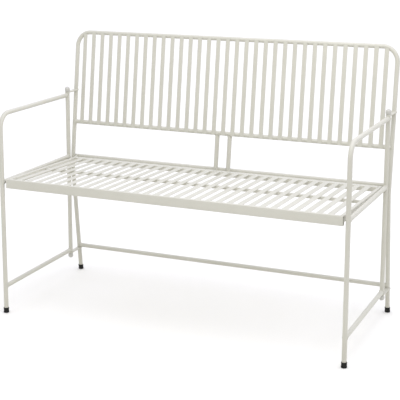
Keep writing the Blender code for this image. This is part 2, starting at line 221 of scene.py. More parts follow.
def soft_box(work, low, high, matrix, bevel, segments=3):
    """A bar between two corners with rounded edges."""
    made = bmesh.ops.create_cube(work, size=1.0)["verts"]
    size = Vector(high) - Vector(low)
    bmesh.ops.scale(work, vec=size, verts=made)
    bmesh.ops.translate(work, vec=(Vector(low) + Vector(high)) / 2, verts=made)
    edges = list({edge for vertex in made for edge in vertex.link_edges})
    if bevel:
        made = bmesh.ops.bevel(work, geom=edges, offset=bevel, segments=segments,
                               profile=0.5, affect="EDGES")["verts"]
        made = [vertex for vertex in made if vertex.is_valid]
        faces = {face for vertex in made for face in vertex.link_faces}
        made = list({vertex for face in faces for vertex in face.verts})
    for vertex in made:
        vertex.co = matrix @ vertex.co


def strip(work, x_range, y_range, z_range, matrix, crown=0.0, corner=0.0005, lengthwise="Y"):
    """A flat bar with rounded long edges and a slight crown on its show face.

    The bar runs along local Y or Z; its show face is +Z when it runs along Y, -Y when along Z.
    """
    half = (x_range[1] - x_range[0]) / 2
    centre = (x_range[1] + x_range[0]) / 2
    thick = (z_range[1] - z_range[0]) if lengthwise == "Y" else (y_range[1] - y_range[0])
    profile = []
    for step in range(9):
        across = -half + corner + (2 * half - 2 * corner) * step / 8
        profile.append((across, -crown * (across / half) ** 2))
    for step in range(1, 4):
        turn = math.radians(90 - 30 * step)
        profile.append((half - corner + corner * math.cos(turn),
                        -crown - corner + corner * math.sin(turn)))
    for step in range(4):
        turn = math.radians(-30 * step)
        profile.append((half - corner + corner * math.cos(turn),
                        -thick + corner + corner * math.sin(turn)))
    mirrored = [(-across, height) for across, height in reversed(profile[9:])]
    profile = profile + mirrored
    ends = y_range if lengthwise == "Y" else z_range
    rings = []
    for along, shrink in ((ends[0], corner * 0.6), (ends[0] + corner * 0.6, 0.0),
                          (ends[1] - corner * 0.6, 0.0), (ends[1], corner * 0.6)):
        ring = []
        for across, height in profile:
            factor = 1.0 - shrink / half
            x = centre + across * factor
            level = -thick / 2 + (height + thick / 2) * (1.0 - shrink * 2 / thick)
            if lengthwise == "Y":
                point = Vector((x, along, z_range[1] + level))
            else:
                point = Vector((x, y_range[0] - level, along))
            ring.append(work.verts.new(matrix @ point))
        rings.append(ring)
    for one, two in zip(rings, rings[1:]):
        for step in range(len(profile)):
            other = (step + 1) % len(profile)
            work.faces.new((one[step], one[other], two[other], two[step]))
    work.faces.new(rings[0])
    work.faces.new(list(reversed(rings[-1])))


def outline_plate(work, outline, holes, thick, matrix, edge=0.0004):
    """A flat plate with softened edges: outline and round holes in local XY, centred on Z."""
    loops = [outline] + holes
    rows = []
    for height, inset in ((-thick / 2, edge), (-thick / 2 + edge, 0.0),
                          (thick / 2 - edge, 0.0), (thick / 2, edge)):
        row = []
        for number, loop in enumerate(loops):
            centre = Vector((sum(p[0] for p in loop), sum(p[1] for p in loop))) / len(loop)
            points = []
            for index, point in enumerate(loop):
                before = Vector(loop[index - 1])
                after = Vector(loop[(index + 1) % len(loop)])
                along = (after - before).normalized()
                inward = Vector((-along.y, along.x))
                if inward.dot(centre - Vector(point)) < 0:
                    inward = -inward
                if number:
                    inward = -inward
                moved = Vector(point) + inward * inset
                points.append(work.verts.new(matrix @ Vector((moved.x, moved.y, height))))
            row.append(points)
        rows.append(row)
    for lower, upper in zip(rows, rows[1:]):
        for one, two in zip(lower, upper):
            for step in range(len(one)):
                other = (step + 1) % len(one)
                work.faces.new((one[step], one[other], two[other], two[step]))
    for row in (rows[0], rows[-1]):
        edges = []
        for points in row:
            for step in range(len(points)):
                found = work.edges.get((points[step], points[(step + 1) % len(points)]))
                edges.append(found)
        bmesh.ops.triangle_fill(work, use_beauty=True, use_dissolve=False, edges=edges)


def rounded_loop(low, high, inset, corner):
    """A rectangle with rounded corners in Y and Z, for the section of a rectangular tube."""
    loop = []
    corners = ((high.y, high.z, 0), (low.y, high.z, 90), (low.y, low.z, 180), (high.y, low.z, 270))
    for y, z, start in corners:
        y += (inset + corner) * (-1 if y == high.y else 1)
        z += (inset + corner) * (-1 if z == high.z else 1)
        for step in range(6):
            turn = math.radians(start + 18 * step)
            loop.append((y + corner * math.cos(turn), z + corner * math.sin(turn)))
    return loop


def arc(centre, across, up, radius, start, end, steps):
    """Points round a bend between two angles in degrees."""
    points = []
    for step in range(steps + 1):
        turn = math.radians(start + (end - start) * step / steps)
        points.append(Vector(centre) + Vector(across) * radius * math.cos(turn)
                      + Vector(up) * radius * math.sin(turn))
    return points


def bead_radii(points, size=BEAD, seed=0.0):
    """Ripple of a weld bead: the radius changes a little from point to point."""
    radii = []
    for point in points:
        wave = noise.noise(Vector(point) * 900.0 + Vector((seed, seed * 0.7, 0.0)))
        radii.append(size * (1.0 + 0.22 * wave))
    return radii


def cope_end(work, x, z, post_y):
    """Hollow a tube's rear end, so that it stops inside the post's wall, short of its bore."""
    work.faces.ensure_lookup_table()
    cap = work.faces[-1]
    ring = list(cap.verts)
    bmesh.ops.delete(work, geom=[cap], context="FACES_ONLY")
    for vert in work.verts:
        room = COPE_RADIUS ** 2 - (vert.co.x - x) ** 2
        if room > 0.0:
            vert.co.y = min(vert.co.y, post_y - math.sqrt(room))
    upper = sorted((v for v in ring if v.co.z > z + 1e-5), key=lambda v: v.co.x)
    lower = sorted((v for v in ring if v.co.z < z - 1e-5), key=lambda v: v.co.x)
    left, right = sorted((v for v in ring if abs(v.co.z - z) <= 1e-5), key=lambda v: v.co.x)
    work.faces.new((left, upper[0], lower[0]))
    for step in range(len(upper) - 1):
        work.faces.new((upper[step], upper[step + 1], lower[step + 1], lower[step]))
    work.faces.new((upper[-1], right, lower[-1]))


def joint_bead(work, joint, branch, main, seed=0.0, steps=44, between=None):
    """A weld bead where a branch tube meets a main tube of the same radius at a right angle.

    joint is where the axes cross; branch and main are unit directions. between is a lowest
    and a highest level that the bead thins down to stay inside.
    """
    branch = Vector(branch).normalized()
    main = Vector(main).normalized()
    side = branch.cross(main).normalized()
    main = side.cross(branch).normalized()
    points = []
    for step in range(steps):
        turn = math.tau * step / steps
        sideways = TUBE * 0.985 * math.sin(turn)
        reach = math.sqrt(max(TUBE ** 2 - sideways ** 2, 0.0))
        points.append(Vector(joint) + main * TUBE * math.cos(turn) + side * sideways
                      + branch * reach)
    radii = bead_radii(points, seed=seed)
    if between:
        radii = [max(min(radius, point.z - between[0], between[1] - point.z), 0.00012)
                 for radius, point in zip(radii, points)]
    sweep(work, points, radii, facets=8, closed=True)


def line_bead(work, start, end, size=BEAD * 0.8, seed=0.0, steps=8):
    """A short straight weld bead with rounded ends."""
    start = Vector(start)
    end = Vector(end)
    points = [start.lerp(end, step / steps) for step in range(steps + 1)]
    radii = bead_radii(points, size=size, seed=seed)
    radii[0] *= 0.35
    radii[-1] *= 0.35
    sweep(work, points, radii, facets=8)


# ---------------------------------------------------------------- materials
def node_of(tree, kind, **sockets):
    """Add a shader node and set its plain inputs."""
    made = tree.nodes.new(kind)
    for key, value in sockets.items():
        made.inputs[key.replace("_", " ")].default_value = value
    return made


def blend_colours(tree, factor, one, two):
    """Mix two colours by a factor socket."""
    mix = tree.nodes.new("ShaderNodeMix")
    mix.data_type = "RGBA"
    tree.links.new(factor, mix.inputs["Factor"])
    colours = [s for s in mix.inputs if s.type == "RGBA"]
    for socket, value in zip(colours, (one, two)):
        if isinstance(value, tuple):
            socket.default_value = (*value, 1.0)
        else:
            tree.links.new(value, socket)
    return [s for s in mix.outputs if s.type == "RGBA"][0]


def powder_coat(name, colour, shade, seed, matt=(0.40, 0.54)):
    """Cream powder coat: orange peel, faint tone drift, dust near the floor, matt specks."""
    made = bpy.data.materials.new(name)
    made.use_nodes = True
    tree = made.node_tree
    shader = tree.nodes["Principled BSDF"]
    place = tree.nodes.new("ShaderNodeTexCoord")
    shift = tree.nodes.new("ShaderNodeMapping")
    shift.inputs["Location"].default_value = (seed, seed * 1.7, seed * 0.3)
    tree.links.new(place.outputs["Object"], shift.inputs["Vector"])

    drift = node_of(tree, "ShaderNodeTexNoise", Scale=7.0, Detail=4.0, Roughness=0.55)
    tree.links.new(shift.outputs["Vector"], drift.inputs["Vector"])
    spread = node_of(tree, "ShaderNodeMapRange", From_Min=0.30, From_Max=0.70)
    tree.links.new(drift.outputs["Fac"], spread.inputs["Value"])
    tone = blend_colours(tree, spread.outputs["Result"], colour, shade)

    speck = node_of(tree, "ShaderNodeTexNoise", Scale=1400.0, Detail=2.0, Roughness=0.6)
    tree.links.new(shift.outputs["Vector"], speck.inputs["Vector"])
    dots = node_of(tree, "ShaderNodeMapRange", From_Min=0.66, From_Max=0.74)
    tree.links.new(speck.outputs["Fac"], dots.inputs["Value"])
    darker = tuple(channel * 0.90 for channel in shade)
    thin = tree.nodes.new("ShaderNodeMath")
    thin.operation = "MULTIPLY"
    thin.inputs[1].default_value = 0.55
    tree.links.new(dots.outputs["Result"], thin.inputs[0])
    tone = blend_colours(tree, thin.outputs["Value"], tone, darker)

    parts = tree.nodes.new("ShaderNodeSeparateXYZ")
    tree.links.new(place.outputs["Object"], parts.inputs["Vector"])
    low = node_of(tree, "ShaderNodeMapRange", From_Min=0.10, From_Max=0.015)
    tree.links.new(parts.outputs["Z"], low.inputs["Value"])
    patch = node_of(tree, "ShaderNodeTexNoise", Scale=55.0, Detail=5.0, Roughness=0.65)
    tree.links.new(shift.outputs["Vector"], patch.inputs["Vector"])
    dust = tree.nodes.new("ShaderNodeMath")
    dust.operation = "MULTIPLY"
    tree.links.new(low.outputs["Result"], dust.inputs[0])
    tree.links.new(patch.outputs["Fac"], dust.inputs[1])
    weak = tree.nodes.new("ShaderNodeMath")
    weak.operation = "MULTIPLY"
    weak.inputs[1].default_value = 0.40
    tree.links.new(dust.outputs["Value"], weak.inputs[0])
    dusty = (shade[0] * 0.82, shade[1] * 0.79, shade[2] * 0.74)
    tone = blend_colours(tree, weak.outputs["Value"], tone, dusty)
    tree.links.new(tone, shader.inputs["Base Color"])

    gloss = node_of(tree, "ShaderNodeMapRange", From_Min=0.25, From_Max=0.75,
                    To_Min=matt[0], To_Max=matt[1])
    tree.links.new(patch.outputs["Fac"], gloss.inputs["Value"])
    tree.links.new(gloss.outputs["Result"], shader.inputs["Roughness"])

    peel = node_of(tree, "ShaderNodeTexNoise", Scale=620.0, Detail=2.0, Roughness=0.45)
    tree.links.new(shift.outputs["Vector"], peel.inputs["Vector"])
    bump = node_of(tree, "ShaderNodeBump", Strength=0.32, Distance=0.0002)
    tree.links.new(peel.outputs["Fac"], bump.inputs["Height"])
    tree.links.new(bump.outputs["Normal"], shader.inputs["Normal"])
    shader.inputs["Specular IOR Level"].default_value = 0.45
    shader.inputs["Coat Weight"].default_value = 0.08
    shader.inputs["Coat Roughness"].default_value = 0.35
    return made


def rubber(name):
    """Moulded black rubber with dusty scuffs low down and a fine matt grain."""
    made = bpy.data.materials.new(name)
    made.use_nodes = True
    tree = made.node_tree
    shader = tree.nodes["Principled BSDF"]
    place = tree.nodes.new("ShaderNodeTexCoord")
    scuff = node_of(tree, "ShaderNodeTexNoise", Scale=260.0, Detail=6.0, Roughness=0.7)
    tree.links.new(place.outputs["Object"], scuff.inputs["Vector"])
    cut = node_of(tree, "ShaderNodeMapRange", From_Min=0.48, From_Max=0.80)
    tree.links.new(scuff.outputs["Fac"], cut.inputs["Value"])
    tone = blend_colours(tree, cut.outputs["Result"], (0.008, 0.008, 0.007), (0.036, 0.034, 0.030))
    tree.links.new(tone, shader.inputs["Base Color"])
    matt = node_of(tree, "ShaderNodeMapRange", To_Min=0.55, To_Max=0.85)
    tree.links.new(scuff.outputs["Fac"], matt.inputs["Value"])
    tree.links.new(matt.outputs["Result"], shader.inputs["Roughness"])
    grain = node_of(tree, "ShaderNodeTexNoise", Scale=2600.0, Detail=3.0)
    tree.links.new(place.outputs["Object"], grain.inputs["Vector"])
    bump = node_of(tree, "ShaderNodeBump", Strength=0.25, Distance=0.00012)
    tree.links.new(grain.outputs["Fac"], bump.inputs["Height"])
    tree.links.new(bump.outputs["Normal"], shader.inputs["Normal"])
    shader.inputs["Specular IOR Level"].default_value = 0.25
    return made


def zinc(name):
    """Zinc-plated steel: turned grain, patchy tone and fine scratches."""
    made = bpy.data.materials.new(name)
    made.use_nodes = True
    tree = made.node_tree
    shader = tree.nodes["Principled BSDF"]
    shader.inputs["Metallic"].default_value = 1.0
    place = tree.nodes.new("ShaderNodeTexCoord")
    patch = node_of(tree, "ShaderNodeTexNoise", Scale=420.0, Detail=4.0)
    tree.links.new(place.outputs["Object"], patch.inputs["Vector"])
    tone = blend_colours(tree, patch.outputs["Fac"], (0.56, 0.55, 0.52), (0.72, 0.71, 0.68))
    tree.links.new(tone, shader.inputs["Base Color"])
    gloss = node_of(tree, "ShaderNodeMapRange", To_Min=0.25, To_Max=0.48)
    tree.links.new(patch.outputs["Fac"], gloss.inputs["Value"])
    tree.links.new(gloss.outputs["Result"], shader.inputs["Roughness"])
    stretch = tree.nodes.new("ShaderNodeMapping")
    stretch.inputs["Scale"].default_value = (4000.0, 300.0, 300.0)
    tree.links.new(place.outputs["Object"], stretch.inputs["Vector"])
    lines = node_of(tree, "ShaderNodeTexNoise", Scale=1.0, Detail=2.0)
    tree.links.new(stretch.outputs["Vector"], lines.inputs["Vector"])
    bump = node_of(tree, "ShaderNodeBump", Strength=0.12, Distance=0.0001)
    tree.links.new(lines.outputs["Fac"], bump.inputs["Height"])
    tree.links.new(bump.outputs["Normal"], shader.inputs["Normal"])
    return made


CREAM = (0.552, 0.541, 0.468)
CREAM_SHADE = (0.522, 0.511, 0.438)
BACK_COAT = powder_coat("back_powder_coat", CREAM, CREAM_SHADE, 0.37)
SIDE_COAT = powder_coat("side_powder_coat", CREAM, CREAM_SHADE, 1.91)
SEAT_COAT = powder_coat("seat_powder_coat", CREAM, CREAM_SHADE, 3.13)
CAP_COAT = powder_coat("cap_powder_coat", (0.512, 0.503, 0.460), (0.480, 0.471, 0.428), 4.61,
                       matt=(0.24, 0.36))
RUBBER = rubber("moulded_rubber")
ZINC = zinc("zinc_steel")


# ---------------------------------------------------------------- back frame
def back_line():
    """Centre line of the right half of the back frame tube, foot first."""
    low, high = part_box("back_frame_tube")
    foot = Vector(MOUNTS["rear_right_foot"]["pos_m"])
    x = high.x - TUBE
    points = np.array([v.co for v in NODES["back_frame_tube"].data.vertices])
    near = points[points[:, 1] < low.y + 0.0004]
    bend = Vector((x, low.y + TUBE, float(near[:, 2].mean())))
    up = (BACK.to_3x3() @ Vector((0.0, 0.0, 1.0))).normalized()
    top_z = high.z - TUBE
    top = bend + up * ((top_z - bend.z) / up.z)
    down = (Vector((x, foot.y, 0.0)) - bend).normalized()
    start = bend + down * ((bend.z - (low.z + 0.0010)) / -down.z)
    return start, bend, top, up, down


BACK_START, BACK_BEND, BACK_TOP, BACK_UP, BACK_DOWN = back_line()
CORNER = 0.047


def stile_point(height, sign=1.0):
    """A point on a back frame leg's axis at a height."""
    if height >= BACK_BEND.z:
        point = BACK_BEND + BACK_UP * ((height - BACK_BEND.z) / BACK_UP.z)
    else:
        point = BACK_BEND + BACK_DOWN * ((BACK_BEND.z - height) / -BACK_DOWN.z)
    return Vector((point.x * sign, point.y, point.z))


def build_back():
    """The fixed frame: U tube, rails, slats, supports, welds."""
    half = [BACK_START]
    reach = 0.006
    one = BACK_BEND + BACK_DOWN * reach
    two = BACK_BEND + BACK_UP * reach
    for step in range(5):
        t = step / 4
        half.append((one * (1 - t) ** 2) + (BACK_BEND * 2 * t * (1 - t)) + (two * t ** 2))
    centre = BACK_TOP - BACK_UP * CORNER - Vector((CORNER, 0.0, 0.0))
    half += arc(centre, (1.0, 0.0, 0.0), BACK_UP, CORNER, 0.0, 90.0, 18)
    other = [Vector((-p.x, p.y, p.z)) for p in reversed(half)]
    work = bmesh.new()
    sweep(work, half + other, TUBE, chamfer=0.0006)
    finished("back_frame_tube_round", work, "back_frame", BACK_COAT,
             "back_frame_tube")

    welds = bmesh.new()
    low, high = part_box("back_slat_panel")
    rail_z = low.z + TUBE
    rail = stile_point(rail_z)
    rail_local = local_box("back_slat_panel", BACK)
    rail_y = rail_local[1].y - TUBE
    axis = BACK @ Vector((0.0, rail_y, (BACK.inverted() @ rail).z))
    work = bmesh.new()
    x = BACK_BEND.x
    sweep(work, [(-x + 0.002, axis.y, rail_z), (x - 0.002, axis.y, rail_z)], TUBE)
    finished("back_lower_rail", work, "back_frame", BACK_COAT, "back_slat_panel")
    for sign in (-1.0, 1.0):
        joint_bead(welds, (sign * x, axis.y, rail_z), (-sign, 0.0, 0.0), BACK_UP, seed=sign)

    face = rail_local[0].y
    strips_found = strip_edges("back_slat_panel", BACK, 1, face)
    points = local_points("back_slat_panel", BACK)
    on_face = points[np.abs(points[:, 1] - face) < 0.0002]
    thick = BACK_SLAT_THICK
    for index, (x0, x1) in enumerate(strips_found):
        own = on_face[(on_face[:, 0] > x0 - 0.001) & (on_face[:, 0] < x1 + 0.001), 2]
        z_low, z_high = float(own.min()), float(own.max())
        work = bmesh.new()
        strip(work, (x0, x1), (face, face + thick), (z_low, z_high), BACK,
              crown=0.00018, corner=0.00045, lengthwise="Z")
        finished(f"back_slat_{index + 1:02d}", work, "back_frame", BACK_COAT)
        for z in (z_low, z_high):
            inward = 0.0008 if z == z_low else -0.0008
            start = BACK @ Vector((x0 + 0.002, face + thick + 0.0002, z + inward))
            end = BACK @ Vector((x1 - 0.002, face + thick + 0.0002, z + inward))
            line_bead(welds, start, end, size=0.0008, seed=index * 0.37, steps=5)

    low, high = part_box("seat_level_crossbar")
    centre = middle("seat_level_crossbar")
    work = bmesh.new()
    sweep(work, [(low.x, centre.y, centre.z), (high.x, centre.y, centre.z)], TUBE,
          chamfer=0.0007)
    finished("seat_level_crossbar_round", work, "back_frame", BACK_COAT,
             "seat_level_crossbar")
    for sign in (-1.0, 1.0):
        leg = stile_point(centre.z, sign)
        touch = (leg + Vector((leg.x, centre.y, centre.z))) / 2
        for up in (-1.0, 1.0):
            at = touch + Vector((0.0, 0.0, up * 0.0022))
            line_bead(welds, at - Vector((0.006, 0.0, 0.0)), at + Vector((0.006, 0.0, 0.0)),
                      size=0.0016, seed=up)

    low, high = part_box("rear_stretcher")
    z = (low.z + high.z) / 2
    y = stile_point(z).y
    work = bmesh.new()
    sweep(work, [(-x + 0.002, y, z), (x - 0.002, y, z)], TUBE)
    finished("rear_stretcher_round", work, "back_frame", BACK_COAT,
             "rear_stretcher")
    for sign in (-1.0, 1.0):
        joint_bead(welds, (sign * x, y, z), (-sign, 0.0, 0.0), BACK_DOWN, seed=sign * 3.0)

    for side, sign in SIDES:
        node = f"centre_support_{side}"
        centre = middle(node)
        low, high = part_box(node)
        line = [stile_point(low.z + 0.0009), stile_point(rail_z - 0.002)]
        line = [Vector((centre.x, p.y, p.z)) for p in line]
        work = bmesh.new()
        sweep(work, line, TUBE, chamfer=0.0005)
        finished(f"{node}_round", work, "back_frame", BACK_COAT, node)
        top = Vector((centre.x, axis.y, rail_z))
        joint_bead(welds, top, -BACK_UP, (1.0, 0.0, 0.0), seed=sign * 5.0)
        bar = middle("seat_level_crossbar")
        leg = stile_point(bar.z)
        touch = Vector((centre.x, (leg.y + bar.y) / 2, bar.z))
        for up in (-1.0, 1.0):
            at = touch + Vector((0.0, 0.0, up * 0.0022))
            line_bead(welds, at - Vector((0.005, 0.0, 0.0)), at + Vector((0.005, 0.0, 0.0)),
                      size=0.0015, seed=up * sign)
        hinge_parts(welds, side, sign)
        for level in ("upper", "lower"):
            lug_parts(welds, side, sign, level)
        ferrule(f"rear_ferrule_{side}", "back_frame", f"rear_{side}_foot")
    finished("back_frame_welds", welds, "back_frame", BACK_COAT)


def hinge_parts(welds, side, sign):
    """The bracket plate and headed pin at one end of the seat hinge."""
    joint = next(j for j in frame["joints"] if j["name"] == "seat_fold")
    pin_y, pin_z = joint["pos_m"][1], joint["pos_m"][2]
    node = f"seat_hinge_bracket_{side}"
    low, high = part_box(node)
    turn = Matrix(((0, 0, 1, 0), (1, 0, 0, 0), (0, 1, 0, 0), (0, 0, 0, 1)))
    place = Matrix.Translation(((low.x + high.x) / 2, 0.0, 0.0)) @ turn
    round_end = low.y + 0.0072
    outline = [(high.y, low.z + 0.0028), (high.y, high.z), (pin_y + 0.004, pin_z + 0.0075)]
    for angle in range(100, 281, 10):
        bend = math.radians(angle)
        outline.append((round_end + 0.0072 * math.cos(bend), pin_z + 0.0072 * math.sin(bend)))
    hole = [(pin_y + PIN_BORE * math.cos(math.tau * n / 32),
             pin_z + PIN_BORE * math.sin(math.tau * n / 32)) for n in range(32)]
    work = bmesh.new()
    outline_plate(work, outline, [hole], high.x - low.x, place)
    finished(f"{node}_plate", work, "back_frame", BACK_COAT, node)
    for x in (low.x, high.x):
        line_bead(welds, (x, high.y + 0.0004, low.z + 0.0045), (x, high.y + 0.0004, high.z - 0.001),
                  size=0.0010, seed=x * 30.0)

    node = f"seat_hinge_pin_{side}"
    low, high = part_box(node)
    length = high.x - low.x
    place = Matrix.Translation((low.x if sign > 0 else high.x, pin_y, pin_z))
    place = place @ Matrix.Rotation(math.radians(90.0 * sign), 4, "Y")
    head = (high.z - low.z) / 2
    profile = [(0.0, length), (head * 0.45, length - 0.0001), (head * 0.80, length - 0.0005),
               (head * 0.96, length - 0.0011), (head, length - 0.0016), (head, length - 0.0021),
               (0.0030, length - 0.0021), (0.0030, 0.0005), (0.0026, 0.0), (0.0, 0.0)]
    work = bmesh.new()
    lathe(work, profile, place)
    finished(f"{node}_turned", work, "back_frame", ZINC, node)


def lug_parts(welds, side, sign, level):
    """A pivot lug with its collar, and the domed bolt cap on it."""
    node = f"{level}_lug_{side}"
    low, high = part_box(node)
    joint = next(j for j in frame["joints"] if j["name"] == f"{side}_side_swing")
    pivot = Vector(joint["pos_m"])
    z = (low.z + high.z) / 2
    leg = stile_point(z, sign)
    end = 0.0078
    collar = high.y - leg.y
    outline = []
    for angle in range(180, 361, 10):
        bend = math.radians(angle)
        outline.append((pivot.x + end * math.cos(bend), pivot.y + end * math.sin(bend)))
    neck = math.sqrt(collar ** 2 - end ** 2)
    opening = math.degrees(math.atan2(-neck, end))
    for step in range(31):
        bend = math.radians(opening + (180.0 - 2 * opening) * step / 30)
        outline.append((leg.x + collar * math.cos(bend), leg.y + collar * math.sin(bend)))
    holes = []
    for x, y, radius in ((pivot.x, pivot.y, PIN_BORE), (leg.x, leg.y, TUBE + 0.0003)):
        holes.append([(x + radius * math.cos(math.tau * n / 40),
                       y + radius * math.sin(math.tau * n / 40)) for n in range(40)])
    work = bmesh.new()
    outline_plate(work, outline, holes, high.z - low.z, Matrix.Translation((0.0, 0.0, z)))
    finished(f"{node}_plate", work, "back_frame", BACK_COAT, node)
    across = BACK_UP if z > BACK_BEND.z else BACK_DOWN
    for height in (low.z, high.z):
        ring = []
        centre = stile_point(height, sign)
        for step in range(40):
            bend = math.tau * step / 40
            ring.append(centre + Vector((math.cos(bend), math.sin(bend) / abs(across.z), 0.0))
                        * (TUBE + 0.0004))
        sweep(welds, ring, bead_radii(ring, size=0.0009, seed=height * 9.0), facets=8, closed=True)

    node = f"{level}_pivot_bolt_{side}"
    low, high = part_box(node)
    radius = (high.x - low.x) / 2
    dome = CAP_HEIGHT
    base = high.z - dome if level == "upper" else low.z + dome
    place = Matrix.Translation((pivot.x, pivot.y, base))
    if level == "lower":
        place = place @ Matrix.Rotation(math.pi, 4, "X")
    shank = -(high.z - low.z - dome)
    profile = [(0.0, dome)]
    for step in range(1, 13):
        bend = math.radians(90.0 - 7.5 * step)
        rise = CAP_SHOULDER + (dome - CAP_SHOULDER) * math.sin(bend)
        profile.append((radius * math.cos(bend), rise))
    profile += [(radius * 0.995, 0.0060), (radius * 0.97, 0.0040), (radius * 0.90, 0.0022),
                (radius * 0.84, 0.0014), (radius * 0.80, 0.0011), (radius * 0.80, 0.0003),
                (0.0030, 0.0003), (0.0030, shank + 0.0005), (0.0026, shank), (0.0, shank)]
    work = bmesh.new()
    lathe(work, profile, place)
    finished(f"{node}_cap", work, "back_frame", CAP_COAT, node, smooth_angle=50.0)


def ferrule(node, body, mount):
    """A moulded rubber foot with a rolled rim, a waist groove and a flat sole."""
    low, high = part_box(node)
    foot = Vector(MOUNTS[mount]["pos_m"])
    lean = 0.0
    if body == "back_frame":
        lean = BACK_DOWN.y / BACK_DOWN.z
    radius = (high.x - low.x) / 2
    tall = high.z - low.z
    profile = [(0.0, 0.0020), (0.0072, 0.0020), (0.0072, tall - 0.0004), (0.0075, tall),
               (0.0079, tall), (radius - 0.0003, tall - 0.0003), (radius, tall - 0.0010),
               (radius, tall - 0.0024), (radius - 0.0004, tall - 0.0028),
               (radius - 0.0004, 0.0040), (radius, 0.0036), (radius, 0.0011),
               (radius - 0.0003, 0.0004), (radius - 0.0010, 0.0), (0.0, 0.0)]
    shear = Matrix.Identity(4)
    shear[1][2] = lean
    work = bmesh.new()
    lathe(work, profile, Matrix.Translation((foot.x, foot.y, 0.0)) @ shear)
    finished(f"{node}_moulded", work, body, RUBBER, node)


# ---------------------------------------------------------------- side frames
def build_side(side, sign):
    """One swinging side frame: leg with arm, post, two bars, foot, welds."""
    body = f"{side}_side_frame"
    node = f"leg_and_arm_tube_{side}"
    low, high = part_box(node)
    post = middle(f"post_tube_{side}")
    post_low, post_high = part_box(f"post_tube_{side}")
    x, y, arm_z = post.x, low.y + TUBE, high.z - TUBE
    corner = ARM_CORNER
    centre = (x, y + corner, arm_z - corner)
    path = [Vector((x, y, low.z))]
    path += arc(centre, (0.0, -1.0, 0.0), (0.0, 0.0, 1.0), corner, 0.0, 90.0, 18)
    path += [Vector((x, post.y - 0.002, arm_z))]
    work = bmesh.new()
    sweep(work, path, TUBE)
    cope_end(work, x, arm_z, post.y)
    finished(f"{node}_round", work, body, SIDE_COAT, node)

    node = f"post_tube_{side}"
    bore = PIN_BORE
    profile = [(0.0, post_high.z - BORE_DEPTH), (bore, post_high.z - BORE_DEPTH),
               (bore, post_high.z - 0.0004), (bore + 0.0004, post_high.z),
               (TUBE - 0.0006, post_high.z), (TUBE, post_high.z - 0.0006),
               (TUBE, post_low.z + 0.0006), (TUBE - 0.0006, post_low.z),
               (bore + 0.0004, post_low.z), (bore, post_low.z + 0.0004),
               (bore, post_low.z + BORE_DEPTH), (0.0, post_low.z + BORE_DEPTH)]
    work = bmesh.new()
    lathe(work, profile, Matrix.Translation((x, post.y, 0.0)))
    finished(f"{node}_round", work, body, SIDE_COAT, node)

    welds = bmesh.new()
    clear = (post_low.z - 0.0002, post_high.z + 0.0002)
    joint_bead(welds, (x, post.y, arm_z), (0.0, -1.0, 0.0), (0.0, 0.0, 1.0), seed=sign,
               between=clear)
    for name in ("seat_level_side_bar", "low_side_stretcher"):
        node = f"{name}_{side}"
        low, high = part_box(node)
        front = Vector((x, y + 0.002, low.z + TUBE))
        rear = Vector((x, post.y - 0.002, high.z - TUBE))
        work = bmesh.new()
        sweep(work, [front, rear], TUBE)
        if name == "low_side_stretcher":
            cope_end(work, x, rear.z, post.y)
        finished(f"{node}_round", work, body, SIDE_COAT, node)
        joint_bead(welds, (x, y, front.z), (0.0, 1.0, 0.0), (0.0, 0.0, 1.0), seed=front.z)
        joint_bead(welds, (x, post.y, rear.z), (0.0, -1.0, 0.0), (0.0, 0.0, 1.0), seed=rear.z,
                   between=clear)

    finished(f"{side}_side_frame_welds", welds, body, SIDE_COAT)
    ferrule(f"front_ferrule_{side}", body, f"front_{side}_foot")


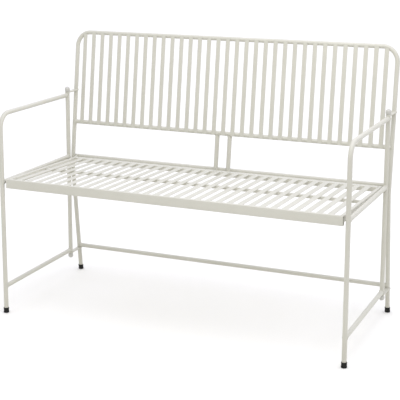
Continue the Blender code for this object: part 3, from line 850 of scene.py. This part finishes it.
# ---------------------------------------------------------------- seat
def build_seat():
    """The folding panel: rails, slats, cross bar, welds."""
    turn = Matrix(((0, 0, 1, 0), (1, 0, 0, 0), (0, 1, 0, 0), (0, 0, 0, 1)))
    apron_low, apron_high = local_box("seat_front_rail", SEAT)
    work = bmesh.new()
    outline_plate(work, rounded_loop(apron_low, apron_high, 0.0, 0.0018),
                  [rounded_loop(apron_low, apron_high, APRON_WALL, 0.0007)],
                  apron_high.x - apron_low.x, SEAT @ turn)
    finished("seat_front_rail_rounded", work, "seat", SEAT_COAT, "seat_front_rail")
    rear_low, rear_high = local_box("seat_rear_rail", SEAT)
    work = bmesh.new()
    soft_box(work, rear_low, rear_high, SEAT, 0.0014, 4)
    finished("seat_rear_rail_rounded", work, "seat", SEAT_COAT, "seat_rear_rail")

    welds = bmesh.new()
    joint = next(j for j in frame["joints"] if j["name"] == "seat_fold")
    hinge = SEAT.inverted() @ Vector((0.0, joint["pos_m"][1], joint["pos_m"][2]))
    for side, sign in SIDES:
        node = f"seat_side_rail_{side}"
        low, high = local_box(node, SEAT)
        wide = high.x - low.x
        place = SEAT @ Matrix.Translation(((low.x + high.x) / 2, 0.0, 0.0)) @ turn
        outline = [(low.y, low.z), (high.y, low.z), (high.y, high.z), (low.y, high.z)]
        hole = [(hinge.y + PIN_BORE * math.cos(math.tau * n / 32),
                 hinge.z + PIN_BORE * math.sin(math.tau * n / 32)) for n in range(32)]
        work = bmesh.new()
        outline_plate(work, outline, [hole], wide, place, edge=0.0011)
        finished(f"{node}_rounded", work, "seat", SEAT_COAT, node)
        inner = low.x if sign > 0 else high.x
        for y, seed in ((rear_low.y, 1.0), (apron_high.y, 2.0)):
            start = SEAT @ Vector((inner, y, low.z + 0.003))
            end = SEAT @ Vector((inner, y, -0.002))
            line_bead(welds, start, end, size=0.0010, seed=seed * sign)

    points = local_points("seat_slat_panel", SEAT)
    low, high = local_box("seat_slat_panel", SEAT)
    top = float(points[:, 2].max())
    strips_found = strip_edges("seat_slat_panel", SEAT, 2, top)
    thick = SEAT_SLAT_THICK
    bar_points = points[points[:, 2] < low.z + 0.0003]
    bar_y = (float(bar_points[:, 1].min()), float(bar_points[:, 1].max()))
    work = bmesh.new()
    soft_box(work, (low.x, bar_y[0], low.z), (high.x, bar_y[1], top - thick), SEAT, 0.0008)
    finished("seat_mid_bar", work, "seat", SEAT_COAT, "seat_slat_panel")
    on_top = points[np.abs(points[:, 2] - top) < 0.0002]
    y_low, y_high = float(on_top[:, 1].min()), float(on_top[:, 1].max())
    for index, (x0, x1) in enumerate(strips_found):
        work = bmesh.new()
        strip(work, (x0, x1), (y_low - 0.0003, y_high + 0.0003), (top - thick, top), SEAT,
              crown=0.00035, corner=0.0005)
        finished(f"seat_slat_{index + 1:02d}", work, "seat", SEAT_COAT)
        for y in (y_low, y_high):
            start = SEAT @ Vector((x0 + 0.003, y, top - thick - 0.0002))
            end = SEAT @ Vector((x1 - 0.003, y, top - thick - 0.0002))
            line_bead(welds, start, end, size=0.0009, seed=index * 0.61, steps=6)
        for x in (x0 + 0.0012, x1 - 0.0012):
            start = SEAT @ Vector((x, bar_y[0] - 0.0001, top - thick))
            end = SEAT @ Vector((x, bar_y[1] + 0.0001, top - thick))
            line_bead(welds, start, end, size=0.0007, seed=index * 0.23, steps=4)
    finished("seat_welds", welds, "seat", SEAT_COAT)


build_back()
for side_name, side_sign in SIDES:
    build_side(side_name, side_sign)
build_seat()


# ---------------------------------------------------------------- floor, light, camera
HORIZON, CEILING = 1.00, 0.90    # sky strength at the horizon and overhead
OVERHEAD, KEY = 1.15, 8.5
KEY_SPOT = Vector((0.45, -0.48, 1.9))


def studio():
    """A plain pale floor and soft studio light."""
    work = bmesh.new()
    bmesh.ops.create_grid(work, x_segments=1, y_segments=1, size=40.0)
    mesh = bpy.data.meshes.new("studio_floor")
    work.to_mesh(mesh)
    work.free()
    floor = bpy.data.objects.new("studio_floor", mesh)
    bpy.context.scene.collection.objects.link(floor)
    floor.location = (0.0, 0.0, CAD_LOW.z - 0.0002)
    paint = bpy.data.materials.new("studio_white")
    paint.use_nodes = True
    shader = paint.node_tree.nodes["Principled BSDF"]
    shader.inputs["Base Color"].default_value = (0.86, 0.85, 0.795, 1.0)
    shader.inputs["Roughness"].default_value = 0.9
    floor.data.materials.append(paint)

    world = bpy.data.worlds.new("studio_world")
    bpy.context.scene.world = world
    world.use_nodes = True
    tree = world.node_tree
    back = tree.nodes["Background"]
    back.inputs["Color"].default_value = (1.0, 1.0, 1.0, 1.0)
    way = tree.nodes.new("ShaderNodeTexCoord")
    parts = tree.nodes.new("ShaderNodeSeparateXYZ")
    tree.links.new(way.outputs["Generated"], parts.inputs["Vector"])
    fade = node_of(tree, "ShaderNodeMapRange", From_Min=0.02, From_Max=0.16,
                   To_Min=HORIZON, To_Max=CEILING)
    fade.interpolation_type = "SMOOTHSTEP"
    tree.links.new(parts.outputs["Z"], fade.inputs["Value"])
    tree.links.new(fade.outputs["Result"], back.inputs["Strength"])

    overhead = bpy.data.lights.new("overhead_light", "SUN")
    overhead.energy = OVERHEAD
    overhead.angle = math.radians(110.0)
    overhead.color = (0.98, 1.0, 1.36)
    hang(overhead, (0.0, 0.0, 3.0), Vector((-0.10, -0.25, -1.0)))

    aim = (CAD_LOW + CAD_HIGH) / 2
    key = bpy.data.lights.new("key_light", "AREA")
    key.shape = "DISK"
    key.size = 1.0
    key.energy = KEY
    hang(key, KEY_SPOT, aim - KEY_SPOT)


def hang(light, spot, way):
    """Put a light in the scene, pointing along a direction; it isn't seen itself."""
    lamp = bpy.data.objects.new(light.name, light)
    lamp.location = spot
    lamp.rotation_mode = "QUATERNION"
    lamp.rotation_quaternion = way.to_track_quat("-Z", "Y")
    lamp.visible_camera = False
    bpy.context.scene.collection.objects.link(lamp)


def camera():
    """The three-quarter view from the front right, from a little above arm height."""
    data = bpy.data.cameras.new("bench_camera")
    data.sensor_width = 36.0
    data.lens = 101.51
    data.shift_x = 0.040
    data.shift_y = -0.1375
    data.clip_start = 0.1
    data.clip_end = 50.0
    made = bpy.data.objects.new("bench_camera", data)
    bpy.context.scene.collection.objects.link(made)
    yaw, pitch, roll = -0.4158, 0.2025, 0.0002
    forward = Vector((math.sin(yaw) * math.cos(pitch), math.cos(yaw) * math.cos(pitch),
                      -math.sin(pitch)))
    right = Vector((math.cos(yaw), -math.sin(yaw), 0.0))
    up = right.cross(forward)
    across = right * math.cos(roll) + up * math.sin(roll)
    above = up * math.cos(roll) - right * math.sin(roll)
    turn = Matrix((across, above, -forward)).transposed().to_4x4()
    made.matrix_world = Matrix.Translation((1.3287, -3.1148, 1.2317)) @ turn
    bpy.context.scene.camera = made


studio()
camera()
bpy.context.scene.view_settings.view_transform = "Standard"
